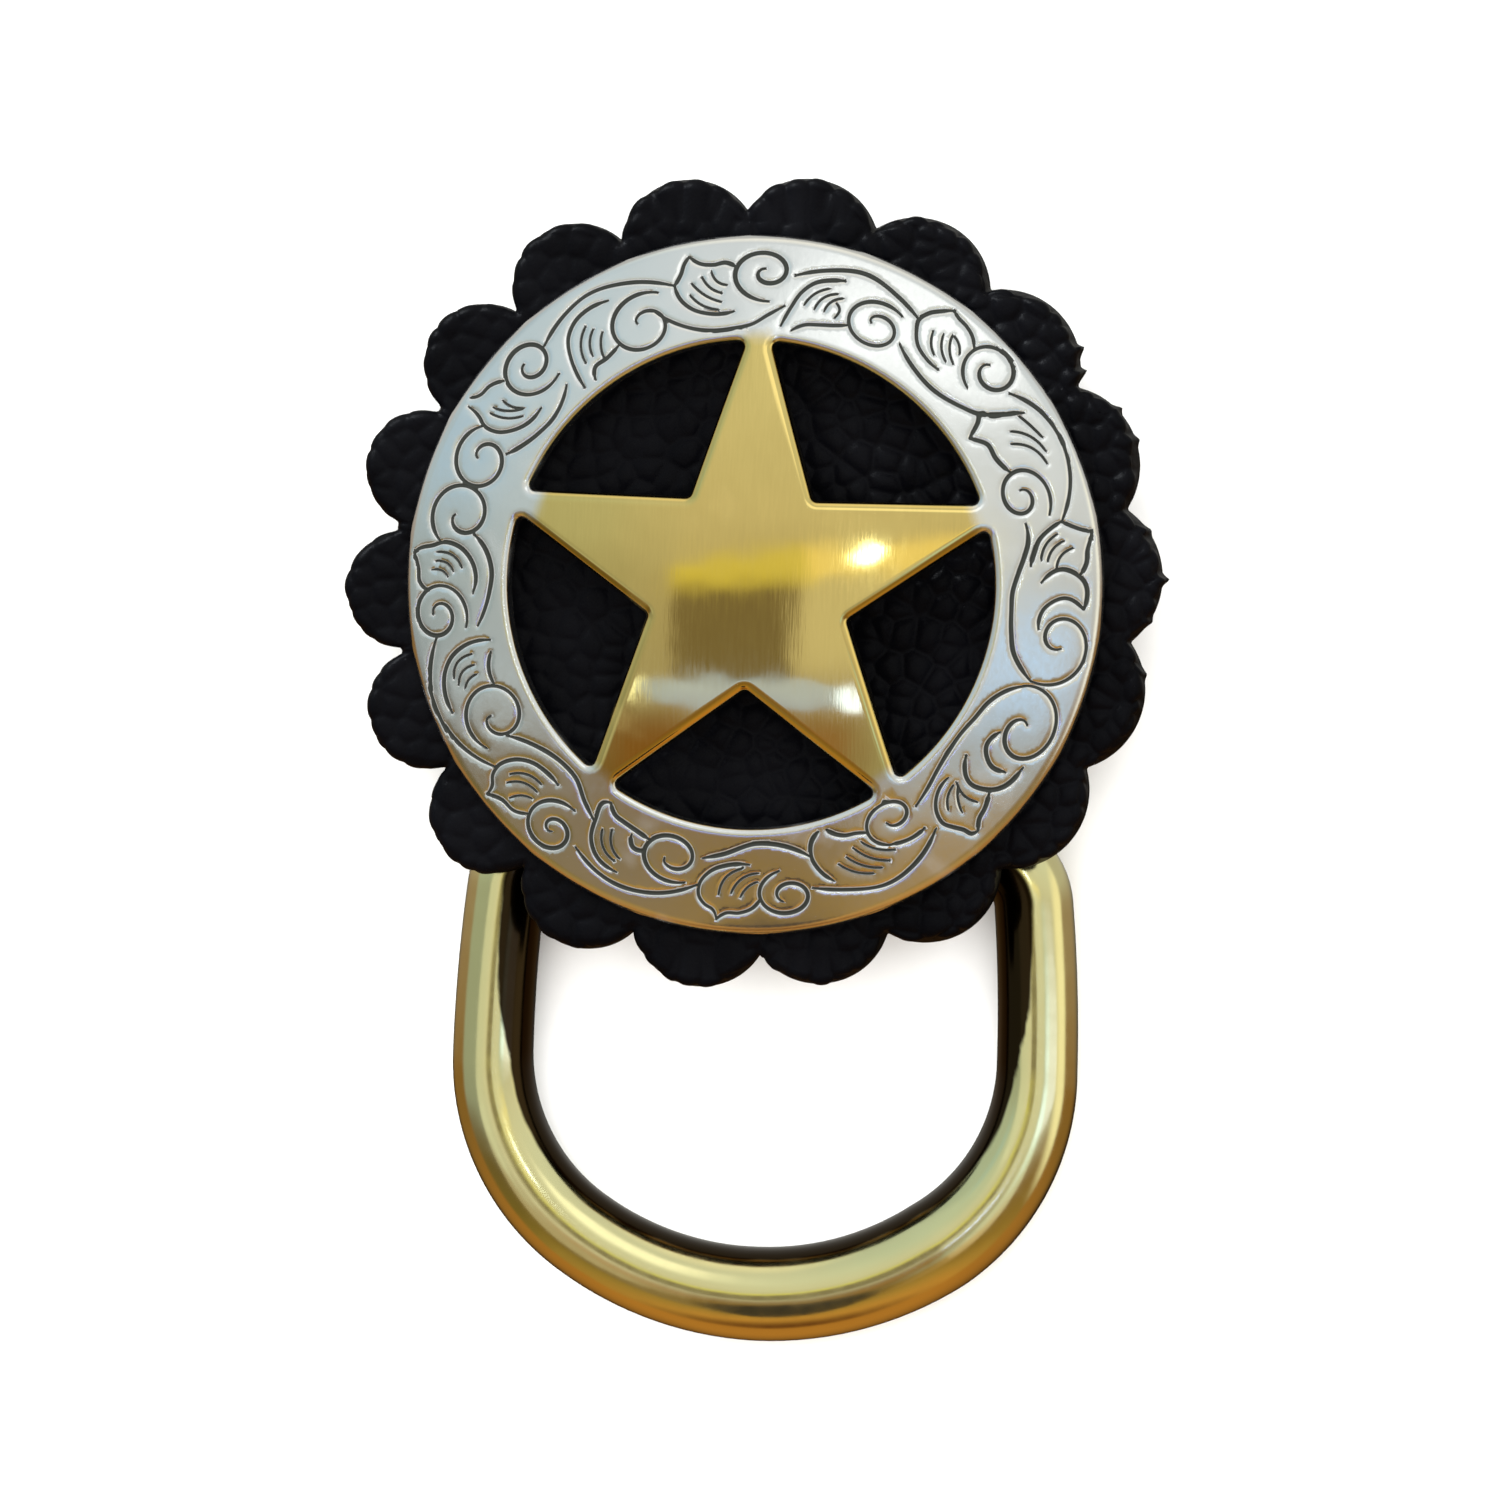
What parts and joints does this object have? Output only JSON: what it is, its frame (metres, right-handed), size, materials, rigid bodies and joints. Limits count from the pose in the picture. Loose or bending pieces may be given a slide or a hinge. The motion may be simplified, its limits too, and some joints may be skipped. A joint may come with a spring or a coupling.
{
  "type": "concho",
  "caption": "Round pierced star concho on a scalloped leather rosette, with a hinged dee held behind by a folded clip and screw.",
  "frame": {"origin": "on the concho's axis, in the plane that its back rests on, at the bottom of the back screw's head", "axes": "+Z out of the concho's face, +Y to twelve o'clock on the face, with the dee hanging towards -Y"},
  "size_m": [0.0452, 0.0643, 0.0141],
  "materials": {
    "two_tone_plate": "satin silver plate on the ring, satin gold plate on the star, dark antiqued engraving",
    "pebbled_leather": "pebbled, dull black",
    "gold_plate": "polished pale gold plate",
    "nickel_plate": "plain nickel plate"
  },
  "bodies": {
    "base": {"concho": "two_tone_plate", "leather_rosette": "pebbled_leather", "dee_clip": "nickel_plate", "back_screw": "nickel_plate"},
    "dee": {"dee": "gold_plate"}
  },
  "joints": [
    {"name": "dee_hinge", "type": "hinge", "parent": "base", "child": "dee", "pos_m": [0.0008, -0.0142, 0.00305], "axis": [-1, 0, 0], "range_deg": [-175, 20]}
  ]
}
